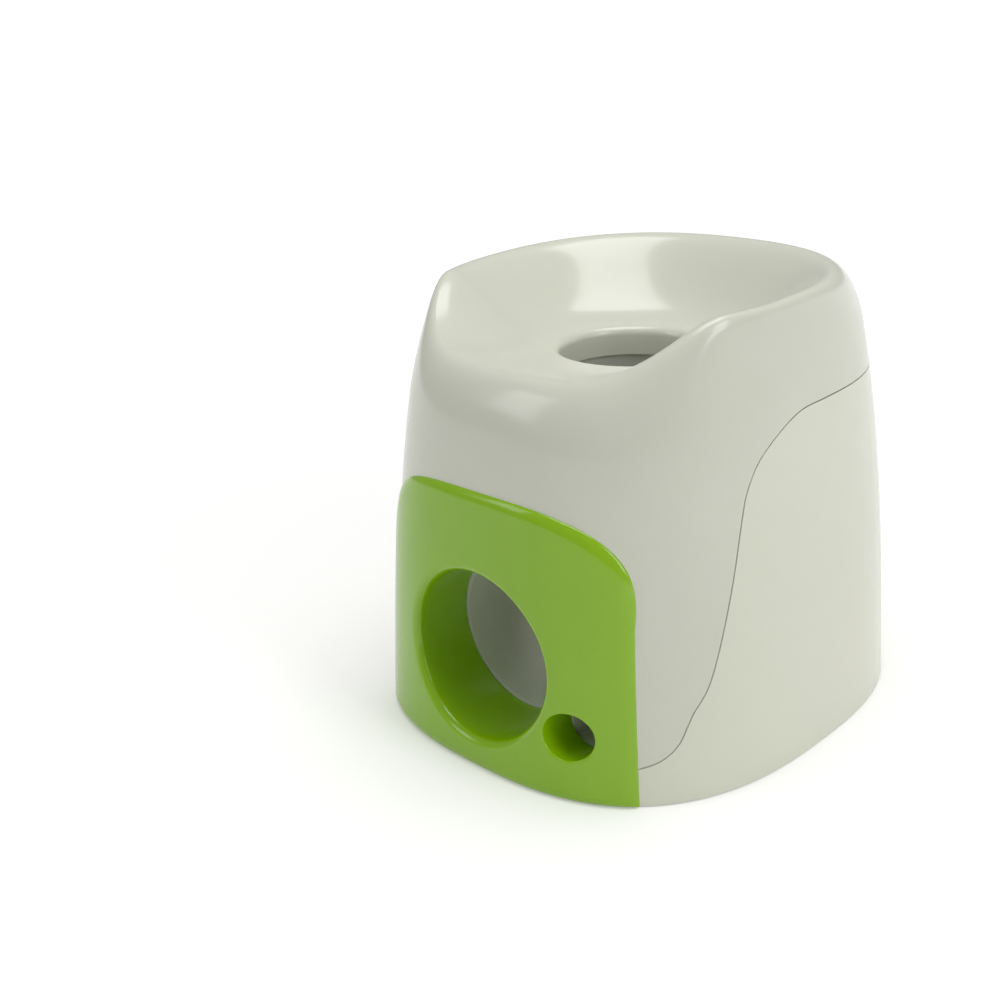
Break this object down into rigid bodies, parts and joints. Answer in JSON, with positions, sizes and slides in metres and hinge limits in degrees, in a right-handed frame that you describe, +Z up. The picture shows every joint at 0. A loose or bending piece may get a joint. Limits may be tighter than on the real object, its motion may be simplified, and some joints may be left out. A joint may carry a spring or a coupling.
{
  "type": "ball drop with treat dispenser",
  "caption": "Free-standing ball drop for dogs: a dish with a throat on top, a round exit tunnel in a green bezel, and a small treat outlet beside it.",
  "frame": {"origin": "on the floor under the middle of the body", "axes": "+Z up, the bezel and its round exit face -Y, the treat outlet is on the +X side"},
  "size_m": [0.2344, 0.2659, 0.2281],
  "materials": {
    "shell_plastic": "glossy moulded, pale warm grey white",
    "tub_plastic": "glossy moulded, pale warm grey white",
    "green_plastic": "glossy moulded, lime green",
    "chute_plastic": "satin moulded",
    "paddle_plastic": "satin moulded",
    "gear_plastic": "moulded acetal",
    "drum_plastic": "satin moulded, green",
    "frame_plastic": "satin moulded, dark grey",
    "hopper_plastic": "satin moulded, milky",
    "base_plastic": "fine textured, dark grey",
    "bush_plastic": "satin black acetal",
    "steel": "ground bright",
    "clip_steel": "phosphated",
    "spring_steel": "drawn wire",
    "screw_steel": "zinc plated",
    "rubber": "matte black",
    "silicone": "translucent grey, matte"
  },
  "bodies": {
    "root": {"upper_shell": "shell_plastic", "rear_tub": "tub_plastic", "front_bezel": "green_plastic", "ball_chute_left": "chute_plastic", "ball_chute_right": "chute_plastic", "idler_stud": "steel", "idler_clip": "clip_steel", "left_bracket": "frame_plastic", "right_bracket": "frame_plastic", "outer_bracket": "frame_plastic", "paddle_bushes": "bush_plastic", "drum_bushes": "bush_plastic", "return_spring": "spring_steel", "stop_bumper": "rubber", "treat_hopper": "hopper_plastic", "treat_chute": "chute_plastic", "mouth_wiper": "silicone", "door_hinge_pin": "steel", "door_seal": "silicone", "base_plate": "base_plastic", "rubber_feet": "rubber", "base_screws": "screw_steel", "bracket_screws": "screw_steel", "chute_screws": "screw_steel"},
    "paddle": {"ball_paddle": "paddle_plastic", "paddle_shaft": "steel", "sector_gear": "gear_plastic", "paddle_clips": "clip_steel"},
    "idler": {"idler_gear": "gear_plastic"},
    "drum": {"drum_pinion": "gear_plastic", "dosing_drum": "drum_plastic", "drum_shaft": "steel", "drum_clip": "clip_steel"},
    "door": {"refill_door": "tub_plastic", "latch_spring": "spring_steel"},
    "latch": {"door_latch": "green_plastic"}
  },
  "joints": [
    {"name": "paddle_swing", "type": "hinge", "parent": "root", "child": "paddle", "pos_m": [0, 0.044, 0.112], "axis": [1, 0, 0], "range_deg": [0, 44], "stiffness_Nm_per_rad": 0.01, "springref_deg": -40.11},
    {"name": "idler_turn", "type": "hinge", "parent": "root", "child": "idler", "pos_m": [0.0515, -0.01099, 0.07551], "axis": [1, 0, 0], "range_deg": [-68, 0]},
    {"name": "drum_turn", "type": "hinge", "parent": "root", "child": "drum", "pos_m": [0.076, -0.056, 0.066], "axis": [1, 0, 0], "range_deg": [0, 88.2]},
    {"name": "refill_door_hinge", "type": "hinge", "parent": "root", "child": "door", "pos_m": [0, 0.12663, 0.127], "axis": [1, 0, 0], "range_deg": [-100, 0]},
    {"name": "door_latch_slide", "type": "slide", "parent": "door", "child": "latch", "axis": [0, 0, -1], "range_m": [0, 0.004], "stiffness_N_per_m": 300, "springref_m": -0.002, "deforming": ["latch_spring"]}
  ],
  "couplings": [
    {"joint": "idler_turn", "follows": "paddle_swing", "ratio": -1.5385},
    {"joint": "drum_turn", "follows": "paddle_swing", "ratio": 2}
  ]
}
